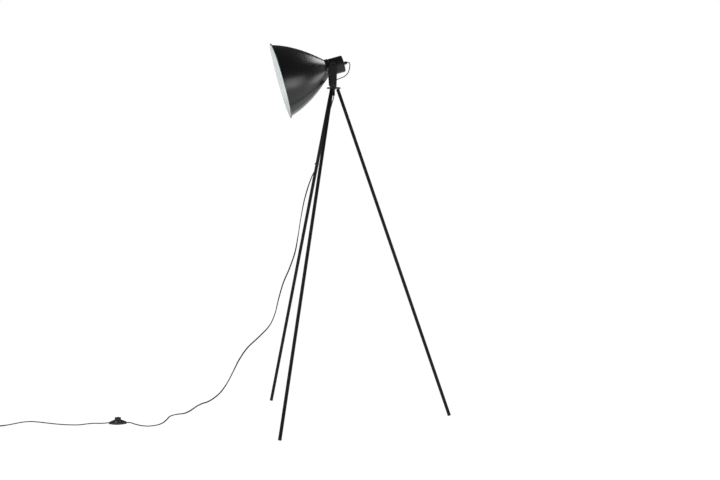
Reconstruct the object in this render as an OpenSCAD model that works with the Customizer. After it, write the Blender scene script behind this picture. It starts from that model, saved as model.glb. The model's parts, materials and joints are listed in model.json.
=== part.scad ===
// Tripod floor lamp: a spun metal shade on a tilting socket housing, held in a U-shaped yoke that
// swivels on a round hub plate with three screwed tube legs. A flat two-core lead runs down inside the
// hub, along the rear leg, to an in-line foot switch and a two-pin plug. Millimetres, +Z up.
// The origin is on the floor under the middle of the hub. The shade faces -X and one leg stands at +X.

/* [Stand] */
// Height of the hub plate's top face above the floor
hub_top_z = 1298; // [1150:1:1400]
// Distance from the middle of the stand to the point where each leg meets the floor
foot_radius = 463; // [400:1:520]
// Distance from the middle of the stand to each leg's axis at the hub
leg_top_radius = 14; // [13.5:0.5:16]
// Outer diameter of the leg tubes
leg_d = 13; // [12:0.5:13.5]
// Wall thickness of the leg tubes
leg_wall = 1; // [0.8:0.1:1.2]
// Number of tube sections screwed together in each leg
leg_sections = 3; // [3:1:3]
// Outer diameter of the rubber feet
foot_d = 13.6; // [13.6:0.1:15]

/* [Hub] */
// Diameter of the hub plate
hub_d = 54; // [50:1:60]
// Thickness of the hub plate
hub_t = 5; // [5:0.5:6]
// How far the hollow threaded rod hangs below the hub plate
nipple_drop = 25; // [15:1:30]

/* [Yoke] */
// Thickness of the yoke's steel strip
yoke_t = 2.5; // [2:0.5:3]
// Clear width between the yoke's arms
yoke_gap = 69; // [69:0.5:70]
// Height of the tilt axis above the hub plate
pivot_h = 81; // [78:1:90]
// Radius of the rounded upper ends of the arms
arm_r = 15; // [12:1:16]
// Width of the strip where it lies on the hub
strip_w = 16; // [16:1:20]

/* [Head] */
// Angle of the shade's axis below the horizontal
tilt = 16; // [0:1:20]
// Distance from the shade's rim to the tilt axis
rim_to_pivot = 210; // [200:1:215]
// Radius of the shade's wall at the rim
rim_r = 143; // [130:1:150]
// Radius of the shade's neck
neck_r = 34.2; // [34:0.1:36]
// Sheet thickness of the shade
shade_t = 0.8; // [0.8:0.1:1.2]
// Diameter of the socket housing
housing_d = 65; // [65:0.5:65.5]
// Length of the socket housing
housing_len = 64.5; // [62:0.5:70]

/* [Foot switch] */
// Length of the foot switch along the lead
switch_len = 66; // [64:1:72]
// Width of the foot switch
switch_w = 38; // [34:1:42]
// Diameter of the switch button
button_d = 24; // [22:0.5:25]
// Travel of the switch button
button_travel = 3; // [2:0.5:3]

/* [Lead] */
// Width of the flat two-core lead
cord_w = 5.6; // [5.2:0.1:5.8]
// Thickness of the flat two-core lead
cord_t = 3.4; // [3.2:0.1:3.6]

/* [Hidden] */
$fn = 64;

black = "#1b1b1c";
steel = "silver";
nylon = "ivory";

// clearances: a press or thread that only touches, and a pin that turns
snug = 0.05;
running = 0.06;
// gap left between flat faces that slide on each other
slip = 0.1;

// stand
leg_r = leg_d / 2;
leg_bore_r = leg_r - leg_wall;
hub_bottom_z = hub_top_z - hub_t;
leg_line_z = hub_top_z - hub_t / 2;
splay = atan((foot_radius - leg_top_radius) / leg_line_z);
leg_line_len = leg_line_z / cos(splay);
foot_r = foot_d / 2;
foot_edge = 2.5;
foot_h = 9;
shank_len = 14;
foot_rise = foot_edge * (1 - cos(splay)) + (foot_r - foot_edge) * sin(splay);
foot_end = leg_line_len - foot_rise / cos(splay);
leg_start = 5;
leg_end = foot_end - foot_h;
section_len = (leg_end - leg_start) / leg_sections;
plug_len = 18;
stud_r = 3;
stud_len = 15;

// hub: hollow threaded rod, its nuts and washers
nipple_r = 5;
nipple_bore_r = 3.9;
nut_flats = 14;
hex_r = nut_flats / 2 / cos(30);
washer_t = 1;
nipple_nut_h = 3;
lock_nut_h = 4;
yoke_z = hub_top_z + washer_t + slip;
spring_washer_z = yoke_z + yoke_t + slip;
lock_nut_z = spring_washer_z + washer_t;
nipple_top_z = lock_nut_z + lock_nut_h + 4.8;
nipple_bottom_z = hub_bottom_z - nipple_drop;
bush_flange = 1.5;
bush_r = 3;
exit_z = nipple_bottom_z - bush_flange;

// head: its own axis runs from the rim (negative) through the tilt axis to the rear (positive)
pivot_x = -5.5;
pivot_z = hub_top_z + pivot_h;
housing_r = housing_d / 2;
housing_t = 1.2;
flange_at = -20;
shade_len = rim_to_pivot + flange_at;
rear_at = flange_at + housing_len;
band_r = 34;
band_len = 7;
edge_r = 1.6;
sleeve_r = 19.9;
socket_r = 13.3;
gland_end = rear_at + 16;
screw_r = 2.5;
arm_face = yoke_gap / 2;

// shade: the wall's radius falls by a parabola from the rim to the neck
curve_len = shade_len - 6;
rim_slope = 0.27;
bend = (rim_r - neck_r - rim_slope * curve_len) / pow(curve_len, 2);
lip_w = 4.3;
bead_r = 1.2;
function shade_r(s) = rim_r - rim_slope * s - bend * s * s;
function shade_slope(s) = rim_slope + 2 * bend * s;
function shade_inner_r(s) = shade_r(s) - shade_t * sqrt(1 + pow(shade_slope(s), 2));

// foot switch
switch_pos = [-837, -39, 0];
base_h = 3;
cover_top = 15;
brim_h = 4.5;
switch_end_w = 11;
cover_wall = 1.5;
button_top = 25;
button_r = button_d / 2;
flange_h = 1.5;
lead_z = 4.9;
spring_r = 6;
spring_wire_r = 0.4;
spring_turns = 5;

// plug and coil
coil_centre = [-1336, -97];
coil_turn_r = [29, 32.6];
coil_half = 1.8;
coil_h = 11.4;
coil_z = 0.8;
plug_at = [-1371, -142];
plug_z = 6.9;
pin_r = 2;
pin_len = 19;
pin_spacing = 18.6;

// the lead's routes, through the middle of its section; the first is given beside the head
loop_route = [[56.5, 0, 1396.4], [60, 0, 1394.8], [62.4, 0, 1391], [63.2, 0, 1385], [62.4, 0, 1376],
    [60, 0, 1366], [55.8, 0, 1356], [49.5, 0, 1347.5], [41, 0, 1341], [31, 0, 1336.3], [21, 0, 1332.5],
    [12, 0, 1328.5], [5, 0, 1322.5], [1, 0, 1315.5], [0, 0, 1308], [0, 0, 1296], [0, 0, 1282]];
main_route = [[0, 0, 1282], [0, 0, 1266], [-1, 5, 1255], [-4, 16, 1243], [-8, 30, 1226], [-13, 45, 1207],
    [-21, 55, 1186], [-31, 69, 1140], [-41, 85, 1086], [-50, 101, 1032], [-56, 111, 1000],
    [-63, 118, 980], [-73, 124, 961], [-89, 136, 918], [-106, 153, 855], [-119, 172, 780],
    [-129, 190, 710], [-140, 207, 645], [-161, 225, 580], [-187, 245, 515], [-206, 264, 445],
    [-220, 280, 385], [-242, 293, 335], [-285, 308, 287], [-334, 325, 238], [-369, 341, 185],
    [-393, 357, 135], [-418, 373, 85], [-447, 387, 42], [-480, 388, 14], [-511, 366, 1.8],
    [-538, 308, 1.8], [-556, 240, 1.8], [-572, 180, 1.8], [-592, 137, 1.8], [-618, 124, 1.8],
    [-641, 94, 1.8], [-655, 12, 1.8], [-668, -52, 1.8], [-690, -89, 1.8], [-718, -101, 1.8],
    [-745, -88, 1.8], [-770, -60, 2], [-788, -41, 3.9], [-804, -39, 4.9], [-812, -39, 4.9]];
tail_route = [[-862, -39, 4.9], [-870, -39, 4.9], [-887, -38, 3.7], [-906, -33, 1.9], [-930, -28, 1.8],
    [-958, -40, 1.8], [-985, -53, 1.8], [-1020, -49, 1.8], [-1060, -34, 1.8], [-1105, -9, 1.8],
    [-1145, 16, 1.8], [-1180, 29, 1.8], [-1208, 18, 1.8], [-1236, -12, 1.8], [-1268, -43, 1.8],
    [-1306, -60, 2.6], [-1336, -63.5, 3.6]];
plug_route = [[-1371, -97, 9], [-1371, -108, 8], [-1371, -117.7, 7]];

function unit(v) = v / norm(v);
function heading(p, i) = unit(p[min(i + 1, len(p) - 1)] - p[max(i - 1, 0)]);
function across(t) = unit([0, 1, 0] - t[1] * t);
function oval_ring(centre, side, up, w, h, sides) = [
    for (k = [0 : sides - 1]) centre + side * w / 2 * cos(k * 360 / sides) + up * h / 2 * sin(k * 360 / sides)
];

// a tube whose rings are given as lists of points
module skin(rings) {
    n = len(rings);
    m = len(rings[0]);
    sides = [
        for (i = [0 : n - 2])
            for (k = [0 : m - 1])
                for (face = [
                    [i * m + k, i * m + (k + 1) % m, (i + 1) * m + (k + 1) % m],
                    [i * m + k, (i + 1) * m + (k + 1) % m, (i + 1) * m + k]
                ]) face
    ];
    caps = [[for (k = [m - 1 : -1 : 0]) k], [for (k = [0 : m - 1]) (n - 1) * m + k]];
    polyhedron(points = [for (r = rings) each r], faces = concat(sides, caps));
}

// the flat lead along a route: its wide side lies level, or as near to the Y axis as the route allows
module lead(route) {
    color(black) skin([
        for (i = [0 : len(route) - 1])
            let (t = heading(route, i), side = across(t))
                oval_ring(route[i], side, cross(side, t), cord_w, cord_t, 8)
    ]);
}

module tube(r, bore, h) {
    difference() {
        cylinder(r = r, h = h);
        translate([0, 0, -1]) cylinder(r = bore, h = h + 2);
    }
}

module hex_nut(flats, bore, h) {
    difference() {
        cylinder(r = flats / 2 / cos(30), h = h, $fn = 6);
        translate([0, 0, -1]) cylinder(r = bore, h = h + 2);
    }
}

// places a piece on a leg: local +Z runs down the leg from the hub
module on_leg(turn) {
    rotate([0, 0, turn])
        translate([leg_top_radius, 0, leg_line_z])
            rotate([0, 180 - splay, 0])
                children();
}

// places a piece on the head: local +Z runs to the rear, local +X down
module on_head() {
    translate([pivot_x, 0, pivot_z])
        rotate([0, 90 - tilt, 0])
            children();
}

// places a piece at both ends of the tilt axis: local +Z runs outwards
module on_both_sides() {
    on_head()
        for (side = [-90, 90])
            rotate([side, 0, 0])
                children();
}

// ---- head ----

module shade() {
    steps = 22;
    at = [for (i = [0 : steps]) i * curve_len / steps];
    wall = concat(
        [for (s = at) [shade_r(s), s]],
        [[neck_r, shade_len - edge_r], [neck_r - edge_r, shade_len], [20.3, shade_len],
            [20.3, shade_len - shade_t], [neck_r - edge_r, shade_len - shade_t]],
        [for (i = [steps : -1 : 0]) [shade_inner_r(at[i]), at[i]]]
    );
    color(black) on_head()
        translate([0, 0, -rim_to_pivot])
            rotate_extrude($fn = 128) {
                polygon(wall);
                translate([rim_r - shade_t, 0]) square([lip_w + shade_t, shade_t]);
                translate([rim_r + lip_w, bead_r]) circle(r = bead_r, $fn = 32);
            }
}

module housing() {
    outline = [[housing_r - housing_t, 0], [band_r, 0], [band_r, band_len], [housing_r, band_len + 1],
        [housing_r, housing_len - edge_r], [housing_r - edge_r, housing_len], [nipple_r + snug, housing_len],
        [nipple_r + snug, housing_len - housing_t], [housing_r - edge_r, housing_len - housing_t],
        [housing_r - housing_t, housing_len - edge_r]];
    color(black) difference() {
        on_head() translate([0, 0, flange_at]) rotate_extrude($fn = 96) polygon(outline);
        on_both_sides() translate([0, 0, 20]) cylinder(r = screw_r + snug, h = 20);
    }
}

module ring_front() {
    grips = 24;
    color(black) on_head() translate([0, 0, flange_at - shade_t - 6]) difference() {
        tube(24.5, sleeve_r + snug, 6);
        for (i = [0 : grips - 1])
            rotate([0, 0, i * 360 / grips]) translate([25, 0, -1]) cylinder(r = 1, h = 8, $fn = 16);
    }
}

module ring_rear() {
    color(black) on_head() translate([0, 0, flange_at]) tube(24, sleeve_r + snug, 5);
}

module lampholder_sleeve() {
    outline = [[16.5, -33], [19, -33], [sleeve_r, -32], [sleeve_r, 8], [18, 8], [18, -3], [16.5, -3]];
    color(black) on_head() rotate_extrude() polygon(outline);
}

module lampholder_core() {
    outline = [[socket_r + 0.45, -31], [16.45, -31], [16.45, -2.9], [17.95, -2.9], [17.95, 4], [3.1, 4],
        [3.1, -4.9], [socket_r + 0.45, -4.9]];
    color("white") on_head() rotate_extrude() polygon(outline);
}

module socket_shell() {
    color("goldenrod") on_head() translate([0, 0, -30]) tube(socket_r + 0.4, socket_r, 21);
}

module centre_contact() {
    color("goldenrod") on_head() {
        translate([0, 0, -6.4]) cylinder(r = 4.5, h = 1.4);
        translate([0, 0, -5]) cylinder(r = 3, h = 9);
    }
}

module lampholder_cap() {
    outline = [[sleeve_r, 8], [sleeve_r, 12], [12, 22], [8, 24], [8, 31], [nipple_r + snug, 31],
        [nipple_r + snug, 22], [10, 20.5], [17.9, 11], [17.9, 8]];
    color(black) on_head() rotate_extrude() polygon(outline);
}

module holder_leads() {
    color("saddlebrown") on_head()
        for (side = [-1, 1])
            translate([0, side * 1.3, 4.2]) cylinder(r = 1.1, h = 21.6, $fn = 24);
}

module rear_nipple() {
    color(steel) on_head() translate([0, 0, 24]) tube(nipple_r, nipple_bore_r, 30);
}

module rear_nut() {
    color(steel) on_head() translate([0, 0, rear_at - housing_t - 3]) hex_nut(nut_flats, nipple_r + snug, 3);
}

module cord_gland() {
    outline = [[nipple_r + snug, rear_at], [6, rear_at], [6, rear_at + 3], [5.4, rear_at + 4],
        [6.3, rear_at + 5], [6.3, rear_at + 11], [5.4, rear_at + 12.5], [3.9, gland_end],
        [bush_r, gland_end], [bush_r, 54.1], [nipple_r + snug, 54.1]];
    color(black) on_head() rotate_extrude() polygon(outline);
}

module tilt_screws() {
    head_at = arm_face + yoke_t + slip + washer_t;
    color(black) on_both_sides() difference() {
        union() {
            translate([0, 0, 26.5]) cylinder(r = screw_r, h = head_at - 26.5);
            translate([0, 0, head_at]) cylinder(r = 4.75, h = 1.5);
            translate([0, 0, head_at + 1.5]) cylinder(r1 = 4.75, r2 = 3.4, h = 1.2);
        }
        translate([0, 0, head_at + 0.9]) cylinder(r = 1.75, h = 3, $fn = 6);
    }
}

module tilt_washers() {
    color(black) on_both_sides()
        translate([0, 0, arm_face + yoke_t + slip])
            tube(5.5, screw_r + snug, washer_t);
}

module tilt_spacers() {
    color(nylon) difference() {
        on_both_sides() translate([0, 0, 30]) tube(8, screw_r + snug, arm_face - slip - 30);
        on_head() translate([0, 0, -20]) cylinder(r = housing_r + snug, h = 40, $fn = 96);
    }
}

module tilt_nuts() {
    color(steel) on_both_sides() translate([0, 0, 26.9]) hex_nut(8, screw_r + snug, 4);
}

// ---- yoke ----

module u_outline(half, corner, rise) {
    translate([-half, corner]) square([2 * half, rise]);
    translate([-half + corner, 0]) square([2 * (half - corner), 2 * corner]);
    for (side = [-1, 1])
        translate([side * (half - corner), corner]) circle(r = corner);
}

module yoke() {
    outer_half = arm_face + yoke_t;
    bend_r = 5.5;
    rise = pivot_z - yoke_z;
    half_strip = strip_w / 2;
    color(black) difference() {
        translate([0, 0, yoke_z]) intersection() {
            rotate([90, 0, 90]) linear_extrude(height = 80, center = true) difference() {
                u_outline(outer_half, bend_r, rise + arm_r);
                translate([0, yoke_t]) u_outline(arm_face, bend_r - yoke_t, rise + arm_r);
            }
            rotate([90, 0, 0]) linear_extrude(height = 100, center = true) {
                polygon([[-half_strip, -1], [half_strip, -1], [half_strip, 6], [pivot_x + arm_r, rise],
                    [pivot_x - arm_r, rise], [-16, 10], [-half_strip, 2]]);
                translate([pivot_x, rise]) circle(r = arm_r);
            }
        }
        translate([pivot_x, 0, pivot_z]) rotate([90, 0, 0])
            cylinder(r = screw_r + running, h = 100, center = true);
        translate([0, 0, yoke_z - 1]) cylinder(r = nipple_r + running, h = 10);
    }
}

// ---- hub ----

module hub_plate() {
    r = hub_d / 2;
    edge = 1;
    outline = [[nipple_r + snug, 0], [r - edge, 0], [r, edge], [r, hub_t - edge], [r - edge, hub_t],
        [nipple_r + snug, hub_t]];
    color(black) difference() {
        translate([0, 0, hub_bottom_z]) rotate_extrude($fn = 96) polygon(outline);
        for (turn = [0, 120, 240])
            on_leg(turn) translate([0, 0, -1.3]) cylinder(r = stud_r + snug, h = 8);
    }
}

module hub_studs() {
    color(steel)
        for (turn = [0, 120, 240])
            on_leg(turn) translate([0, 0, -1.3]) cylinder(r = stud_r, h = leg_start + stud_len + 1.3);
}

module nipple() {
    color(black) translate([0, 0, nipple_bottom_z])
        tube(nipple_r, nipple_bore_r, nipple_top_z - nipple_bottom_z);
}

module nipple_nut() {
    color(black) translate([0, 0, hub_bottom_z - nipple_nut_h])
        rotate([0, 0, 30]) hex_nut(nut_flats, nipple_r + snug, nipple_nut_h);
}

module swivel_washer() {
    color(nylon) translate([0, 0, hub_top_z]) tube(8, nipple_r + snug, washer_t);
}

module spring_washer() {
    color(black) translate([0, 0, spring_washer_z]) difference() {
        tube(8, nipple_r + snug, washer_t);
        rotate([0, 0, 20]) translate([6, 0, 0]) cube([6, 1, 4], center = true);
    }
}

module lock_nut() {
    color(black) translate([0, 0, lock_nut_z]) hex_nut(nut_flats, nipple_r + snug, lock_nut_h);
}

// a plastic bush that lines one end of the hollow rod; local +Z runs into the rod
module bush() {
    color(black) difference() {
        union() {
            cylinder(r = nipple_r, h = bush_flange);
            translate([0, 0, bush_flange]) cylinder(r = nipple_bore_r - snug, h = 8);
        }
        translate([0, 0, -1]) cylinder(r = bush_r, h = 20);
    }
}

module inlet_bush() {
    translate([0, 0, nipple_top_z + bush_flange]) rotate([180, 0, 0]) bush();
}

module outlet_bush() {
    translate([0, 0, exit_z]) bush();
}

// ---- legs ----

module leg_section(turn, index) {
    color(black) on_leg(turn)
        translate([0, 0, leg_start + index * section_len])
            tube(leg_r, leg_bore_r, section_len);
}

module leg_upper_right() leg_section(0, 0);
module leg_upper_rear() leg_section(120, 0);
module leg_upper_front() leg_section(240, 0);
module leg_middle_right() leg_section(0, 1);
module leg_middle_rear() leg_section(120, 1);
module leg_middle_front() leg_section(240, 1);
module leg_lower_right() leg_section(0, 2);
module leg_lower_rear() leg_section(120, 2);
module leg_lower_front() leg_section(240, 2);

// a tapped plug pressed into the upper end of every tube section
module leg_inserts() {
    color(steel)
        for (turn = [0, 120, 240])
            for (index = [0 : leg_sections - 1])
                on_leg(turn) translate([0, 0, leg_start + index * section_len])
                    tube(leg_bore_r - snug, stud_r + snug, plug_len);
}

// a plug with a threaded stud pressed into the lower end of the upper and middle sections
module leg_joint_studs() {
    color(steel)
        for (turn = [0, 120, 240])
            for (index = [1 : leg_sections - 1])
                on_leg(turn) translate([0, 0, leg_start + index * section_len]) {
                    translate([0, 0, -plug_len]) cylinder(r = leg_bore_r - snug, h = plug_len);
                    cylinder(r = stud_r, h = stud_len);
                }
}

// a rubber foot with a shank that is pushed into the open end of the leg
module foot(turn) {
    color("black") on_leg(turn) translate([0, 0, leg_end]) {
        rotate_extrude() {
            square([foot_r, foot_h - foot_edge]);
            square([foot_r - foot_edge, foot_h]);
            translate([foot_r - foot_edge, foot_h - foot_edge]) circle(r = foot_edge, $fn = 48);
        }
        translate([0, 0, -shank_len]) cylinder(r = leg_bore_r - snug, h = shank_len + 1);
    }
}

module foot_right() foot(0);
module foot_rear() foot(120);
module foot_front() foot(240);

// a cable tie round the rear leg and the lead
module cord_tie() {
    tie_at = 307.5;
    tie_h = 3.5;
    lead_offset = [-7.2, -7];
    color(black) on_leg(120) translate([0, 0, tie_at]) difference() {
        union() {
            linear_extrude(height = tie_h) hull() {
                circle(r = leg_r + 1.2);
                translate(lead_offset) circle(r = 4.1);
            }
            translate([-2.5, 6, -0.5]) cube([5, 4, tie_h + 1]);
        }
        translate([0, 0, -1]) linear_extrude(height = tie_h + 2) hull() {
            circle(r = leg_r + snug);
            translate(lead_offset) circle(r = 3.1);
        }
    }
}

// ---- lead, foot switch and plug ----

// the lead inside the rear rod and gland, then the loop behind the head, into the hollow rod
module cord_loop() {
    rear = [cos(tilt), 0, sin(tilt)];
    inside = [for (at = [26, 45]) [pivot_x, 0, pivot_z] + rear * at];
    lead(concat(inside, loop_route));
}

module cord_main() lead(main_route);
module cord_tail() lead(tail_route);
module cord_end() lead(plug_route);

module lens(length, width) {
    r = (pow(length, 2) + pow(width, 2)) / 4 / width;
    intersection() {
        translate([0, r - width / 2]) circle(r = r, $fn = 128);
        translate([0, width / 2 - r]) circle(r = r, $fn = 128);
    }
}

// the switch's outline: a lens with a blunt end round each lead
module switch_plan(inset) {
    lens(switch_len - 5 - 2 * inset, switch_w - 2 * inset);
    square([switch_len - 2 * inset, switch_end_w - 2 * inset], center = true);
}

module switch_base() {
    color(black) translate(switch_pos) difference() {
        union() {
            linear_extrude(height = base_h) switch_plan(0);
            translate([0, 0, base_h]) cylinder(r = spring_r - 1, h = 2);
        }
        for (side = [-1, 1])
            translate([side * 19, 0, -1]) cylinder(r = 1.3, h = 10, $fn = 24);
    }
}

// a low brim, a cone up to the button, and a ramp up to it from each end
module switch_shell(inset) {
    half_len = switch_len / 2 - inset;
    deck_r = button_r + 3 - inset;
    brim = brim_h - inset;
    deck = cover_top - base_h - inset;
    linear_extrude(height = brim) switch_plan(inset);
    translate([0, 0, brim]) cylinder(r1 = switch_w / 2 - 0.5 - inset, r2 = deck_r, h = deck - brim);
    rotate([90, 0, 0]) linear_extrude(height = switch_end_w - 2 * inset, center = true)
        polygon([[-half_len, 0], [half_len, 0], [half_len, brim], [deck_r, deck], [-deck_r, deck],
            [-half_len, brim]]);
}

module switch_cover() {
    slot_r = cord_t / 2 + 0.2;
    slot_half = (cord_w - cord_t) / 2;
    color("#2a2a2c") translate(switch_pos) translate([0, 0, base_h]) difference() {
        switch_shell(0);
        translate([0, 0, -0.01]) switch_shell(cover_wall);
        cylinder(r = button_r + 0.4, h = 40);
        translate([0, 0, lead_z - base_h]) {
            cube([100, 2 * slot_half, 2 * slot_r], center = true);
            for (side = [-1, 1])
                translate([0, side * slot_half, 0]) rotate([0, 90, 0])
                    cylinder(r = slot_r, h = 100, center = true);
        }
    }
}

module switch_button() {
    bottom = cover_top - cover_wall - 0.3 - flange_h;
    color(black) translate(switch_pos) difference() {
        union() {
            translate([0, 0, bottom]) cylinder(r = button_r + 1.1, h = flange_h);
            translate([0, 0, bottom]) cylinder(r = button_r, h = button_top - bottom - 1.5);
            translate([0, 0, button_top - 1.5]) cylinder(r1 = button_r, r2 = button_r - 1.5, h = 1.5);
        }
        translate([0, 0, bottom - 1]) cylinder(r = button_r - 2, h = button_top - bottom - 2);
        for (x = [-7.5 : 3 : 7.5])
            translate([x, 0, button_top]) cube([1.2, 2 * button_r, 1.6], center = true);
    }
}

module button_spring() {
    low = base_h + spring_wire_r + 0.05;
    high = button_top - 3 - spring_wire_r - 0.05;
    steps = 14 * spring_turns;
    route = [
        for (i = [0 : steps])
            let (a = i * 360 * spring_turns / steps)
                [spring_r * cos(a), spring_r * sin(a), low + (high - low) * i / steps]
    ];
    color(steel) translate(switch_pos) skin([
        for (i = [0 : steps])
            let (t = heading(route, i), out = unit([route[i][0], route[i][1], 0]))
                oval_ring(route[i], out, cross(out, t), 2 * spring_wire_r, 2 * spring_wire_r, 6)
    ]);
}

module switch_contacts() {
    color("goldenrod") translate(switch_pos)
        for (side = [-1, 1]) {
            translate([side * 12.5 - 3.5, -4, base_h + 0.01]) cube([7, 8, 1.2]);
            translate([side * 12.5 - 2, -1, base_h + 1.2]) cube([4, 2, 3]);
        }
}

module switch_screws() {
    color(steel) translate(switch_pos)
        for (side = [-1, 1])
            translate([side * 19, 0, 0.4]) cylinder(r = 1.25, h = base_h - 0.6, $fn = 24);
}

module cord_coil() {
    color(black) translate([coil_centre[0], coil_centre[1], coil_z]) rotate_extrude()
        translate([coil_turn_r[0] - coil_half, 0])
            square([coil_turn_r[1] - coil_turn_r[0] + 2 * coil_half, coil_h]);
}

// a band wrapped once round the coil's bundle of turns
module coil_tie() {
    middle = (coil_turn_r[0] + coil_turn_r[1]) / 2;
    wide = coil_turn_r[1] - coil_turn_r[0] + 2 * coil_half;
    color("dimgray") translate([coil_centre[0], coil_centre[1] - middle, coil_z + coil_h / 2]) difference() {
        cube([6, wide + 0.6 + 2 * coil_z, coil_h + 2 * coil_z], center = true);
        cube([8, wide + 0.6, coil_h + 0.02], center = true);
    }
}

module plug_body() {
    body_len = 34;
    color(black) translate([plug_at[0], plug_at[1], plug_z]) {
        difference() {
            hull() {
                for (side = [-1, 1]) {
                    translate([side * 9, -body_len + 3, 0]) sphere(r = 6.8, $fn = 32);
                    translate([side * 12, -14, 0]) sphere(r = 5.5, $fn = 32);
                }
                translate([0, 0, 0]) sphere(r = 5.2, $fn = 32);
            }
            translate([-30, -body_len - 20, -20]) cube([60, 20, 40]);
        }
        rotate([-90, 0, 0]) cylinder(r1 = 5, r2 = 3.4, h = 24);
    }
}

module plug_pins() {
    color(steel) translate([plug_at[0], plug_at[1] - 34, plug_z])
        for (side = [-1, 1])
            translate([side * pin_spacing / 2, 0, 0]) rotate([90, 0, 0]) {
                cylinder(r = pin_r, h = pin_len - 1);
                translate([0, 0, pin_len - 1]) cylinder(r1 = pin_r, r2 = pin_r - 0.8, h = 1);
            }
}

shade();
housing();
ring_front();
ring_rear();
lampholder_sleeve();
lampholder_core();
socket_shell();
centre_contact();
lampholder_cap();
holder_leads();
rear_nipple();
rear_nut();
cord_gland();
tilt_screws();
tilt_washers();
tilt_spacers();
tilt_nuts();
yoke();
hub_plate();
nipple();
nipple_nut();
swivel_washer();
spring_washer();
lock_nut();
inlet_bush();
outlet_bush();
hub_studs();
leg_upper_right();
leg_upper_rear();
leg_upper_front();
leg_middle_right();
leg_middle_rear();
leg_middle_front();
leg_lower_right();
leg_lower_rear();
leg_lower_front();
leg_inserts();
leg_joint_studs();
foot_right();
foot_rear();
foot_front();
cord_tie();
cord_loop();
cord_main();
switch_base();
switch_cover();
switch_button();
button_spring();
switch_contacts();
switch_screws();
cord_tail();
cord_coil();
cord_end();
coil_tie();
plug_body();
plug_pins();
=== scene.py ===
"""Looks of the tripod floor lamp, around its CAD frame. Metres, +Z up, in the CAD's own frame."""

import json
import math

import bpy
import numpy as np
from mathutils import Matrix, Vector


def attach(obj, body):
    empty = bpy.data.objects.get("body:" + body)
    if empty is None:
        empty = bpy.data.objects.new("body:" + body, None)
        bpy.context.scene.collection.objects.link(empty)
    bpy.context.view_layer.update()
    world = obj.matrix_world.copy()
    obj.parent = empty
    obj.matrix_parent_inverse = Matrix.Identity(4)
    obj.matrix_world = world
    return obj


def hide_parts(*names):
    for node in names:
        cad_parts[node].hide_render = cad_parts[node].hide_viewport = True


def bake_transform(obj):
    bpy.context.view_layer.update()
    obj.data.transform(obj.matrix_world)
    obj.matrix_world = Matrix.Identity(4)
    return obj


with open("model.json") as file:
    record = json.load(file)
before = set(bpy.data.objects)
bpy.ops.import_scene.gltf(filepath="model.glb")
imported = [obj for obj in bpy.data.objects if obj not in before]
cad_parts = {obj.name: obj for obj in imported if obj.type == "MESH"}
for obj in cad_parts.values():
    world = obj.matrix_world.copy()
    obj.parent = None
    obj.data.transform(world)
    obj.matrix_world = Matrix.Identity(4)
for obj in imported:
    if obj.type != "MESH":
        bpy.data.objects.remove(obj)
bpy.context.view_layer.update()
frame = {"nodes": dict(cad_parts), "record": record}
scene = bpy.context.scene
MM = 0.001

# ---- camera: level with the middle of the legs, 4.5 m in front of the lamp ----

CAMERA_AT = (-0.4109, -4.4368, 0.8786)
CAMERA_TURN = -5.29
CAMERA_DIP = 2.26
LENS = 56.86
FRAME_SHIFT = 0.0365


def make_camera():
    data = bpy.data.cameras.new("camera")
    data.lens = LENS
    data.sensor_width = 36
    data.shift_x = FRAME_SHIFT
    data.clip_end = 200
    camera = bpy.data.objects.new("camera", data)
    camera.location = CAMERA_AT
    camera.rotation_euler = (math.radians(90 - CAMERA_DIP), 0, math.radians(CAMERA_TURN))
    scene.collection.objects.link(camera)
    scene.camera = camera


make_camera()

# ---- small mesh tools ----


def mesh_object(name, points, faces, smooth=True):
    mesh = bpy.data.meshes.new(name)
    mesh.from_pydata([tuple(p) for p in points], [], faces)
    mesh.validate()
    mesh.polygons.foreach_set("use_smooth", [smooth] * len(mesh.polygons))
    obj = bpy.data.objects.new(name, mesh)
    scene.collection.objects.link(obj)
    return obj


def unit(v):
    return v / np.linalg.norm(v)


def catmull(points, step):
    """A smooth curve through the points, sampled about every step metres."""
    p = np.array(points, float)
    out = []
    for i in range(len(p) - 1):
        a, b, c, d = p[max(i - 1, 0)], p[i], p[i + 1], p[min(i + 2, len(p) - 1)]
        # chord-length knots keep the curve from overshooting where the points are uneven
        t0, t1 = 0.0, max(np.linalg.norm(b - a), 1e-6) ** 0.5
        t2 = t1 + np.linalg.norm(c - b) ** 0.5
        t3 = t2 + max(np.linalg.norm(d - c), 1e-6) ** 0.5
        count = max(2, int(np.ceil(np.linalg.norm(c - b) / step)))
        if i == 0:
            a, t0 = 2 * b - c, t1 - (t2 - t1)
        if i == len(p) - 2:
            d, t3 = 2 * c - b, t2 + (t2 - t1)
        for t in np.linspace(t1, t2, count, endpoint=False):
            a1 = (t1 - t) / (t1 - t0) * a + (t - t0) / (t1 - t0) * b
            a2 = (t2 - t) / (t2 - t1) * b + (t - t1) / (t2 - t1) * c
            a3 = (t3 - t) / (t3 - t2) * c + (t - t2) / (t3 - t2) * d
            b1 = (t2 - t) / (t2 - t0) * a1 + (t - t0) / (t2 - t0) * a2
            b2 = (t3 - t) / (t3 - t1) * a2 + (t - t1) / (t3 - t1) * a3
            out.append((t2 - t) / (t2 - t1) * b1 + (t - t1) / (t2 - t1) * b2)
    out.append(p[-1])
    return np.array(out)


def path_length(path):
    return float(np.linalg.norm(np.diff(path, axis=0), axis=1).sum())


def headings(path):
    t = np.gradient(path, axis=0)
    return t / np.linalg.norm(t, axis=1)[:, None]


def tube_faces(rings, sides):
    """Faces of a closed tube whose points come ring by ring."""
    faces = [
        (i * sides + k, i * sides + (k + 1) % sides, (i + 1) * sides + (k + 1) % sides, (i + 1) * sides + k)
        for i in range(rings - 1)
        for k in range(sides)
    ]
    first, last = range(sides - 1, -1, -1), range((rings - 1) * sides, rings * sides)
    return faces + [tuple(first), tuple(last)]


# ---- the flat two-core lead ----

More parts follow.
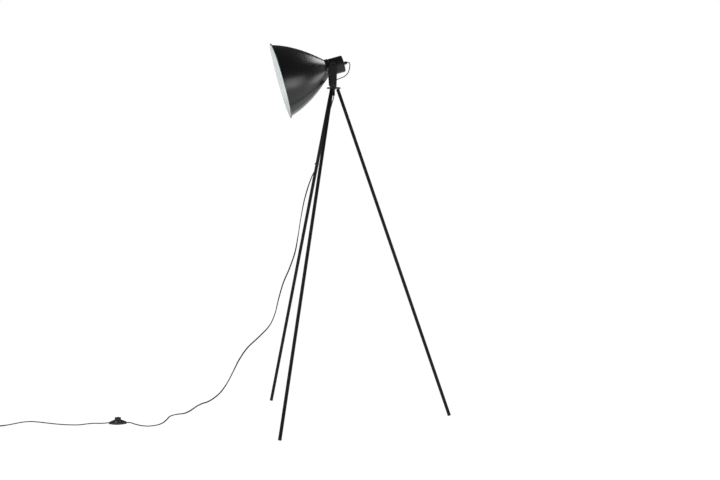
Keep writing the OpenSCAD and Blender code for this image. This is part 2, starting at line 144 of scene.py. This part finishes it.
LEAD_W = 5.6 * MM
LEAD_T = 3.4 * MM
LEAD_SIDES = 28
LEAD_STEP = 4 * MM
FLOOR_GAP = 0.05 * MM

# the routes of part.scad, in metres
LOOP_ROUTE = [
    (0.0194, 0, 1.3862), (0.036, 0, 1.3909), (0.0526, 0, 1.3957), (0.0565, 0, 1.3964),
    (0.06, 0, 1.3948), (0.0624, 0, 1.391), (0.0632, 0, 1.385), (0.0624, 0, 1.376), (0.06, 0, 1.366),
    (0.0558, 0, 1.356), (0.0495, 0, 1.3475), (0.041, 0, 1.341), (0.031, 0, 1.3363),
    (0.021, 0, 1.3325), (0.012, 0, 1.3285), (0.005, 0, 1.3225), (0.001, 0, 1.3155),
    (0, 0, 1.308), (0, 0, 1.296), (0, 0, 1.282),
]
MAIN_ROUTE = [
    (0, 0, 1.282), (0, 0, 1.266), (-0.001, 0.005, 1.255), (-0.004, 0.016, 1.243),
    (-0.008, 0.03, 1.226), (-0.013, 0.045, 1.207), (-0.021, 0.055, 1.186), (-0.031, 0.069, 1.14),
    (-0.041, 0.085, 1.086), (-0.05, 0.101, 1.032), (-0.056, 0.111, 1.0), (-0.063, 0.118, 0.98),
    (-0.073, 0.124, 0.961), (-0.089, 0.136, 0.918), (-0.106, 0.153, 0.855), (-0.119, 0.172, 0.78),
    (-0.129, 0.19, 0.71), (-0.14, 0.207, 0.645), (-0.161, 0.225, 0.58), (-0.187, 0.245, 0.515),
    (-0.206, 0.264, 0.445), (-0.22, 0.28, 0.385), (-0.242, 0.293, 0.335), (-0.285, 0.308, 0.287),
    (-0.334, 0.325, 0.238), (-0.369, 0.341, 0.185), (-0.393, 0.357, 0.135), (-0.418, 0.373, 0.085),
    (-0.447, 0.387, 0.042), (-0.48, 0.388, 0.014), (-0.511, 0.366, 0.0018), (-0.538, 0.308, 0.0018),
    (-0.556, 0.24, 0.0018), (-0.572, 0.18, 0.0018), (-0.592, 0.137, 0.0018), (-0.618, 0.124, 0.0018),
    (-0.641, 0.094, 0.0018), (-0.655, 0.012, 0.0018), (-0.668, -0.052, 0.0018),
    (-0.69, -0.089, 0.0018), (-0.718, -0.101, 0.0018), (-0.745, -0.088, 0.0018),
    (-0.77, -0.06, 0.002), (-0.788, -0.041, 0.0039), (-0.804, -0.039, 0.0049), (-0.812, -0.039, 0.0049),
]
TAIL_ROUTE = [
    (-0.862, -0.039, 0.0049), (-0.87, -0.039, 0.0049), (-0.887, -0.038, 0.0037),
    (-0.906, -0.033, 0.0019), (-0.93, -0.028, 0.0018), (-0.958, -0.04, 0.0018),
    (-0.985, -0.053, 0.0018), (-1.02, -0.049, 0.0018), (-1.06, -0.034, 0.0018),
    (-1.105, -0.009, 0.0018), (-1.145, 0.016, 0.0018), (-1.18, 0.029, 0.0018),
    (-1.208, 0.018, 0.0018), (-1.236, -0.012, 0.0018), (-1.268, -0.043, 0.0018),
    (-1.306, -0.06, 0.0026), (-1.332, -0.0633, 0.0034),
]
PLUG_ROUTE = [(-1.371, -0.097, 0.009), (-1.371, -0.108, 0.008), (-1.371, -0.1177, 0.007)]

COIL_CENTRE = (-1.336, -0.097)
COIL_OUTER = 32.6 * MM
COIL_INNER = 29 * MM
COIL_LOW = 3.65 * MM
COIL_HIGH = 9.35 * MM
COIL_START = 33.4 * MM
COIL_LEAVE = 35 * MM
COIL_TURNS = 4.25


def coil_points():
    """Four turns on edge, side by side and on each other: outside, inside, up, outside, then to the plug."""
    # after so many turns, the lead's middle lies at this radius and height
    stages = [
        (0.0, COIL_START, COIL_LOW), (0.12, COIL_OUTER, COIL_LOW), (0.98, COIL_OUTER, COIL_LOW),
        (1.1, COIL_INNER, COIL_LOW), (1.98, COIL_INNER, COIL_LOW), (2.1, COIL_INNER, COIL_HIGH),
        (2.96, COIL_INNER, COIL_HIGH), (3.1, COIL_OUTER, COIL_HIGH), (4.0, COIL_OUTER, COIL_HIGH),
        (4.16, COIL_LEAVE, COIL_HIGH), (COIL_TURNS, COIL_LEAVE, COIL_HIGH - 0.1 * MM),
    ]
    turns = [s[0] for s in stages]
    points = []
    per_turn = 40
    for k in range(1, int(COIL_TURNS * per_turn)):
        at = k / per_turn
        r = np.interp(at, turns, [s[1] for s in stages])
        z = np.interp(at, turns, [s[2] for s in stages])
        a = math.radians(90 + 360 * at)
        points.append((COIL_CENTRE[0] + r * math.cos(a), COIL_CENTRE[1] + r * math.sin(a), z))
    return points


def flat_profile():
    """Two round cores side by side, with a groove between them: (across, through) for each point."""
    core = LEAD_T / 2
    offset = LEAD_W / 2 - core
    out = []
    for k in range(LEAD_SIDES):
        a = 2 * math.pi * k / LEAD_SIDES
        reach = abs(offset * math.cos(a)) + math.sqrt(core**2 - (offset * math.sin(a)) ** 2)
        out.append((reach * math.cos(a), reach * math.sin(a)))
    return out


def across_y(t):
    """Square to the heading, as near to the Y axis as it can be."""
    return unit(np.array((0, 1, 0)) - t[1] * t)


def across_level(t):
    """Square to the heading and level."""
    return unit(np.cross((0, 0, 1), t))


def lead(name, path, across, roll, material):
    """The lead along a path. roll is a list of (distance along the path, degrees turned about it)."""
    profile = flat_profile()
    at = np.concatenate([[0], np.cumsum(np.linalg.norm(np.diff(path, axis=0), axis=1))])
    turned = np.radians(np.interp(at, [r[0] for r in roll], [r[1] for r in roll]))
    points = []
    for centre, t, angle in zip(path, headings(path), turned):
        side = across(t)
        up = np.cross(side, t)
        wide = side * math.cos(angle) + up * math.sin(angle)
        thin = np.cross(wide, t)
        ring = np.array([centre + wide * u + thin * v for u, v in profile])
        ring[:, 2] += max(0, FLOOR_GAP - ring[:, 2].min())
        points += list(ring)
    obj = mesh_object(name, points, tube_faces(len(path), LEAD_SIDES))
    obj.data.materials.append(material)
    return obj


# ---- materials ----


class Material:
    """A Principled material with procedural detail, made up of a few node helpers."""

    def __init__(self, name, color, roughness, metallic=0.0, specular=0.5):
        self.material = bpy.data.materials.new(name)
        self.material.use_nodes = True
        self.nodes = self.material.node_tree.nodes
        self.links = self.material.node_tree.links
        self.shader = self.nodes["Principled BSDF"]
        self.shader.inputs["Base Color"].default_value = (*color, 1)
        self.shader.inputs["Roughness"].default_value = roughness
        self.shader.inputs["Metallic"].default_value = metallic
        self.shader.inputs["Specular IOR Level"].default_value = specular
        self.height = None

    def node(self, kind, **values):
        made = self.nodes.new(kind)
        for key, value in values.items():
            if key in made.inputs:
                made.inputs[key].default_value = value
            else:
                setattr(made, key, value)
        return made

    def place(self, turn=(0, 0, 0)):
        """The point in the object's own space, turned."""
        coordinates = self.node("ShaderNodeTexCoord")
        mapping = self.node("ShaderNodeMapping", Rotation=turn)
        self.links.new(coordinates.outputs["Object"], mapping.inputs["Vector"])
        return mapping.outputs["Vector"]

    def noise(self, scale, detail=3):
        made = self.node("ShaderNodeTexNoise", Scale=scale, Detail=detail)
        self.links.new(self.place(), made.inputs["Vector"])
        return made.outputs["Fac"]

    def vary(self, socket, value, low, high):
        """The socket runs from low to high as the value runs from 0.3 to 0.7."""
        spread = self.node("ShaderNodeMapRange")
        for key, number in (("From Min", 0.3), ("From Max", 0.7), ("To Min", low), ("To Max", high)):
            spread.inputs[key].default_value = number
        self.links.new(value, spread.inputs["Value"])
        self.links.new(spread.outputs["Result"], self.shader.inputs[socket])

    def tint(self, value, low, high):
        """The colour runs from low to high as the value runs from 0.3 to 0.7."""
        ramp = self.node("ShaderNodeValToRGB")
        ramp.color_ramp.elements[0].position = 0.3
        ramp.color_ramp.elements[0].color = (*low, 1)
        ramp.color_ramp.elements[1].position = 0.7
        ramp.color_ramp.elements[1].color = (*high, 1)
        self.links.new(value, ramp.inputs["Fac"])
        self.links.new(ramp.outputs["Color"], self.shader.inputs["Base Color"])

    def bump(self, value, depth, strength=0.5):
        made = self.node("ShaderNodeBump", Strength=strength, Distance=depth)
        self.links.new(value, made.inputs["Height"])
        if self.height is not None:
            self.links.new(self.height, made.inputs["Normal"])
        self.height = made.outputs["Normal"]
        self.links.new(self.height, self.shader.inputs["Normal"])

    def rings(self, pitch, turn):
        """Ridges square to the local Z axis once the object is turned, a pitch apart, such as a thread's."""
        wave = self.node("ShaderNodeTexWave", Scale=1 / pitch / 20 * 2 * math.pi, Distortion=0)
        wave.wave_type = "BANDS"
        wave.bands_direction = "Z"
        wave.wave_profile = "SIN"
        self.links.new(self.place(turn), wave.inputs["Vector"])
        return wave.outputs["Fac"]


def coated_black(name, specular):
    m = Material(name, (0.006, 0.006, 0.0065), 0.36, specular=specular)
    m.vary("Roughness", m.noise(35, 4), 0.33, 0.40)
    m.tint(m.noise(9, 3), (0.005, 0.005, 0.0055), (0.008, 0.008, 0.0085))
    m.bump(m.noise(1600, 2), 0.01 * MM, 0.35)
    return m.material


def shade_black():
    m = Material("shade_black", (0.005, 0.005, 0.006), 0.26)
    m.vary("Roughness", m.noise(22, 4), 0.24, 0.29)
    m.bump(m.noise(900, 2), 0.004 * MM, 0.2)
    return m.material


def shade_white():
    m = Material("shade_white", (0.70, 0.73, 0.73), 0.4)
    m.vary("Roughness", m.noise(30, 3), 0.36, 0.46)
    m.tint(m.noise(14, 3), (0.68, 0.71, 0.71), (0.73, 0.76, 0.76))
    m.bump(m.noise(900, 2), 0.02 * MM, 0.3)
    return m.material


def moulded(name, low, high, roughness):
    m = Material(name, low, roughness)
    m.tint(m.noise(60, 3), low, high)
    m.vary("Roughness", m.noise(300, 2), roughness - 0.05, roughness + 0.07)
    m.bump(m.noise(2600, 2), 0.04 * MM, 0.5)
    return m.material


def plated(name, color, roughness, thread=None, turn=(0, 0, 0)):
    m = Material(name, color, roughness, metallic=1.0)
    m.vary("Roughness", m.noise(260, 3), roughness - 0.06, roughness + 0.08)
    m.bump(m.noise(1800, 2), 0.02 * MM, 0.3)
    if thread:
        m.bump(m.rings(thread, turn), 0.4 * MM, 1.0)
    return m.material


def soft_black(name, color, roughness, specular=0.5):
    m = Material(name, color, roughness, specular=specular)
    m.tint(m.noise(45, 3), color, tuple(1.5 * c for c in color))
    m.vary("Roughness", m.noise(500, 3), roughness - 0.06, roughness + 0.06)
    m.bump(m.noise(1500, 3), 0.04 * MM, 0.4)
    return m.material


def glazed_white():
    m = Material("glazed_white", (0.82, 0.80, 0.76), 0.2)
    m.tint(m.noise(50, 3), (0.78, 0.76, 0.71), (0.86, 0.84, 0.80))
    m.bump(m.noise(200, 2), 0.05 * MM, 0.3)
    return m.material


BLACK = coated_black("coated_black", 0.35)
LEG_BLACK = coated_black("coated_leg", 0.15)
SHADE_OUT = shade_black()
SHADE_IN = shade_white()
PLASTIC = moulded("plastic_black", (0.008, 0.008, 0.0085), (0.013, 0.013, 0.0135), 0.5)
GREY_PLASTIC = moulded("plastic_grey", (0.018, 0.018, 0.02), (0.026, 0.026, 0.028), 0.45)
NYLON = moulded("nylon", (0.70, 0.68, 0.60), (0.78, 0.76, 0.68), 0.5)
ZINC = plated("zinc", (0.60, 0.61, 0.62), 0.35)
ZINC_THREAD = plated("zinc_thread", (0.55, 0.56, 0.57), 0.35, 1.0 * MM)
BLACK_STEEL = plated("black_steel", (0.03, 0.03, 0.032), 0.4)
NICKEL = plated("nickel", (0.72, 0.71, 0.69), 0.16)
BRASS = plated("brass", (0.78, 0.60, 0.30), 0.28)
BRASS_THREAD = plated("brass_thread", (0.78, 0.60, 0.30), 0.28, 3.6 * MM, (0, math.radians(-74), 0))
CERAMIC = glazed_white()
RUBBER = soft_black("rubber", (0.007, 0.007, 0.007), 0.75)
SHEATH = soft_black("lead_sheath", (0.006, 0.006, 0.0065), 0.45, 0.25)
BROWN = soft_black("core_sheath", (0.13, 0.05, 0.02), 0.45)

SLOT_MATERIALS = {
    "black_coat": BLACK,
    "zinc_steel": ZINC,
    "black_steel": BLACK_STEEL,
    "plated_pins": NICKEL,
    "brass": BRASS,
    "black_plastic": PLASTIC,
    "grey_plastic": GREY_PLASTIC,
    "white_ceramic": CERAMIC,
    "nylon": NYLON,
    "rubber": RUBBER,
    "lead_sheath": SHEATH,
    "core_sheath": BROWN,
}
# nodes whose look is finer than their slot's
NODE_MATERIALS = {"hub_studs": ZINC_THREAD, "rear_nipple": ZINC_THREAD, "socket_shell": BRASS_THREAD}
for height in ("upper", "middle", "lower"):
    for side in ("right", "rear", "front"):
        NODE_MATERIALS[f"leg_{height}_{side}"] = LEG_BLACK


def dress_frame():
    """Every CAD node takes the material of its slot in the record."""
    for part in frame["record"]["subparts"]:
        obj = frame["nodes"][part["node"]]
        material = NODE_MATERIALS.get(part["node"], SLOT_MATERIALS[part["material_slot"]])
        obj.data.materials.clear()
        obj.data.materials.append(material)


dress_frame()

# ---- spring under the switch's button ----

SPRING_AT = (-0.837, -0.039)
SPRING_LOW = 3.45 * MM
SPRING_HIGH = 21.5 * MM
SPRING_R = 6 * MM
SPRING_WIRE_R = 0.4 * MM


def spring_path():
    """An open coil of four turns, with a closed turn lying at each end."""
    closed, open_turns, per_turn = 1.0, 4.0, 36
    lie = 2.2 * SPRING_WIRE_R
    turns = [0, closed, closed + open_turns, 2 * closed + open_turns]
    heights = [SPRING_LOW, SPRING_LOW + lie, SPRING_HIGH - lie, SPRING_HIGH]
    points = []
    for k in range(int(turns[-1] * per_turn) + 1):
        at = k / per_turn
        a = 2 * math.pi * at
        z = np.interp(at, turns, heights)
        points.append((SPRING_AT[0] + SPRING_R * math.cos(a), SPRING_AT[1] + SPRING_R * math.sin(a), z))
    return np.array(points)


def make_button_spring():
    path, sides = spring_path(), 10
    points = []
    for centre, t in zip(path, headings(path)):
        out = unit(np.array((centre[0] - SPRING_AT[0], centre[1] - SPRING_AT[1], 0)))
        up = np.cross(out, t)
        for k in range(sides):
            a = 2 * math.pi * k / sides
            points.append(centre + SPRING_WIRE_R * (out * math.cos(a) + up * math.sin(a)))
    spring = mesh_object("spring_wire", points, tube_faces(len(path), sides))
    spring.data.materials.append(ZINC)
    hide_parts("button_spring")
    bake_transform(spring)
    return spring


button_spring = make_button_spring()

# ---- cords ----


def make_cords():
    loop_path = catmull(LOOP_ROUTE, 2.5 * MM)
    loop = lead("lead_loop", loop_path, across_y, [(0, 0), (1, 0)], SHEATH)
    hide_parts("cord_loop")
    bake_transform(loop)

    main_path = catmull(MAIN_ROUTE, LEAD_STEP)
    whole = path_length(main_path)
    # it turns back and forth as it hangs, lands on edge, and lies down flat
    twist = [(0, 0), (0.34, 0), (0.43, 50), (0.54, 0), (0.61, 0), (0.7, 70), (0.82, 70), (0.96, 15),
             (1.02, 20), (1.1, 75), (1.23, 85), (1.3, 25), (1.35, 25), (1.42, 85), (1.62, 80),
             (1.78, 0), (whole, 0)]
    main = lead("lead_main", main_path, across_y, twist, SHEATH)
    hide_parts("cord_main")
    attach(main, "stand")

    tail_path = catmull(TAIL_ROUTE + coil_points() + PLUG_ROUTE, LEAD_STEP)
    whole = path_length(tail_path)
    floor_part = path_length(catmull(TAIL_ROUTE, LEAD_STEP))
    twist = [(0, 0), (floor_part - 0.09, 0), (floor_part - 0.005, 90), (whole - 0.05, 90),
             (whole - 0.012, 0), (whole, 0)]
    tail = lead("lead_tail", tail_path, across_level, twist, SHEATH)
    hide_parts("cord_tail", "cord_coil", "cord_end")
    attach(tail, "stand")


make_cords()

# ---- threaded rod through the hub ----


def revolve(name, profile, sides, base=Vector((0, 0, 0)), axis=Vector((0, 0, 1)), smooth=True):
    """A closed ring of (distance along the axis, radius) points, turned about the axis."""
    across = Vector((0, 1, 0))
    up = axis.cross(across)
    points = []
    for s, r in profile:
        for k in range(sides):
            a = 2 * math.pi * k / sides
            points.append(base + axis * s + (across * math.cos(a) + up * math.sin(a)) * r)
    faces = []
    for i in range(len(profile)):
        j = (i + 1) % len(profile)
        for k in range(sides):
            n = (k + 1) % sides
            faces.append((i * sides + k, j * sides + k, j * sides + n, i * sides + n))
    return mesh_object(name, points, faces, smooth)


def make_threaded_rod():
    low, high, pitch = 1268 * MM, 1311.5 * MM, 1 * MM
    crest, root, bore = 5 * MM, 4.4 * MM, 3.9 * MM
    ridges = int((high - low) / pitch)
    profile = [(low, bore), (low, root)]
    for k in range(ridges):
        at = low + pitch * (k + 0.25)
        profile += [(at, root), (at + 0.2 * MM, crest), (at + 0.3 * MM, crest), (at + 0.5 * MM, root)]
    profile += [(high, root), (high, bore)]
    rod = revolve("threaded_rod", profile[::-1], 48, smooth=False)
    rod.data.materials.append(BLACK_STEEL)
    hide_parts("nipple")
    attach(rod, "stand")


make_threaded_rod()

# ---- shade ----

PIVOT = Vector((-5.5 * MM, 0, 1.379))
TILT = math.radians(16)
REAR = Vector((math.cos(TILT), 0, math.sin(TILT)))
RIM_TO_PIVOT = 210 * MM
SHADE_LEN = 190 * MM
CURVE_LEN = 184 * MM
RIM_R = 143 * MM
RIM_SLOPE = 0.27
NECK_R = 34.2 * MM
MOUTH_R = 20.4 * MM
SHEET = 0.8 * MM
LIP_R = 147.3 * MM
BEAD_R = 1.2 * MM
CORNER_R = 1.6 * MM
SHADE_SIDES = 256


def shade_radius(s):
    """The wall's outer radius, s metres from the rim."""
    bend = (RIM_R - NECK_R - RIM_SLOPE * CURVE_LEN) / CURVE_LEN**2
    return RIM_R - RIM_SLOPE * s - bend * s * s


def shade_outline():
    """(distance from the rim, radius, is it white) round the sheet: out over the wall, back inside."""
    steps = 60
    outside, inside = [], []
    for k in range(steps + 1):
        s = CURVE_LEN * k / steps
        r = shade_radius(s)
        outside.append((s, r, False))
        slope = (shade_radius(s - 0.1 * MM) - shade_radius(s + 0.1 * MM)) / (0.2 * MM)
        inside.append((s, r - SHEET * math.hypot(1, slope), True))
    # a flat flange at the rim ends in a bead rolled forward over a wire
    rolled = []
    for k in range(17):
        a = math.radians(200 - 290 * k / 16)
        rolled.append((BEAD_R + BEAD_R * math.sin(a), LIP_R + BEAD_R * math.cos(a), False))
    shoulder = []
    for k in range(7):
        a = math.radians(90 * k / 6)
        s = SHADE_LEN - CORNER_R + CORNER_R * math.sin(a)
        shoulder.append((s, NECK_R - CORNER_R + CORNER_R * math.cos(a), False))
    neck = [(SHADE_LEN - 4 * MM, NECK_R, False), *shoulder, (SHADE_LEN, MOUTH_R, False)]
    face = SHADE_LEN - SHEET
    neck_in = [
        (face, MOUTH_R, True), (face, NECK_R - 1.8 * MM, True), (face - 2.2 * MM, NECK_R - 0.9 * MM, True),
    ]
    flange_back = [(SHEET, RIM_R + 2.6 * MM, False), (SHEET, RIM_R + 0.6 * MM, False)]
    flange_front = [(0.0, RIM_R + 0.2 * MM, True), (0.0, RIM_R + 4 * MM, False)]
    return flange_back + outside[1:] + neck + neck_in + inside[::-1] + flange_front + rolled[::-1]


def make_shade():
    outline = shade_outline()
    obj = revolve("shade_shell", [p[:2] for p in outline], SHADE_SIDES, PIVOT - REAR * RIM_TO_PIVOT, REAR)
    obj.data.materials.append(SHADE_OUT)
    obj.data.materials.append(SHADE_IN)
    white = []
    for here, there in zip(outline, outline[1:] + outline[:1]):
        white += [1 if here[2] and there[2] else 0] * SHADE_SIDES
    obj.data.polygons.foreach_set("material_index", white)
    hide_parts("shade")
    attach(obj, "head")


make_shade()

# ---- studio: a pale floor, a bright backdrop and soft boxes ----

HEAD_AT = Vector((-0.1, 0, 1.35))
FLOOR_REACH = 40
BACKDROP = 1.0
ROOM = 0.08


def make_floor():
    """White by its own light, so that it meets the backdrop without a line."""
    m = Material("floor", (0.05, 0.05, 0.05), 0.9, specular=0)
    m.shader.inputs["Emission Color"].default_value = (1, 1, 1, 1)
    m.shader.inputs["Emission Strength"].default_value = BACKDROP
    corners = [(x * FLOOR_REACH, y * FLOOR_REACH, 0) for x, y in ((-1, -1), (1, -1), (1, 1), (-1, 1))]
    floor = mesh_object("floor", corners, [(0, 1, 2, 3)])
    floor.data.materials.append(m.material)


def soft_box(name, azimuth, elevation, distance, size, radiance):
    """A soft box that faces the lamp's head, from that side of it and that height, in degrees."""
    a, e = math.radians(azimuth), math.radians(elevation)
    away = Vector((math.cos(a) * math.cos(e), math.sin(a) * math.cos(e), math.sin(e)))
    data = bpy.data.lights.new(name, "AREA")
    data.shape = "RECTANGLE"
    data.size, data.size_y = size
    data.energy = math.pi * size[0] * size[1] * radiance
    light = bpy.data.objects.new(name, data)
    light.location = HEAD_AT + away * distance
    light.rotation_euler = (-away).to_track_quat("-Z", "Y").to_euler()
    light.visible_camera = False
    scene.collection.objects.link(light)


def make_world():
    """The camera sees a white backdrop, and everything else a dim room."""
    world = bpy.data.worlds.new("studio")
    world.use_nodes = True
    nodes, links = world.node_tree.nodes, world.node_tree.links
    backdrop = nodes["Background"]
    backdrop.inputs["Color"].default_value = (1, 1, 1, 1)
    backdrop.inputs["Strength"].default_value = BACKDROP
    room = nodes.new("ShaderNodeBackground")
    room.inputs["Color"].default_value = (0.95, 0.97, 1, 1)
    room.inputs["Strength"].default_value = ROOM
    ray = nodes.new("ShaderNodeLightPath")
    mix = nodes.new("ShaderNodeMixShader")
    links.new(ray.outputs["Is Camera Ray"], mix.inputs["Fac"])
    links.new(room.outputs["Background"], mix.inputs[1])
    links.new(backdrop.outputs["Background"], mix.inputs[2])
    links.new(mix.outputs["Shader"], nodes["World Output"].inputs["Surface"])
    scene.world = world


make_floor()
make_world()
soft_box("key_left", azimuth=-146, elevation=14, distance=3.2, size=(1.4, 1.4), radiance=8)
soft_box("rear_right", azimuth=29, elevation=45, distance=3.0, size=(1.7, 0.66), radiance=8)
soft_box("low_right", azimuth=2, elevation=-6, distance=3.0, size=(0.9, 1.0), radiance=3.8)
soft_box("side_right", azimuth=8, elevation=20, distance=3.4, size=(1.6, 1.0), radiance=0.9)
soft_box("low_front", azimuth=-42, elevation=-5, distance=3.0, size=(1.5, 1.3), radiance=2.7)
scene.view_settings.view_transform = "Standard"
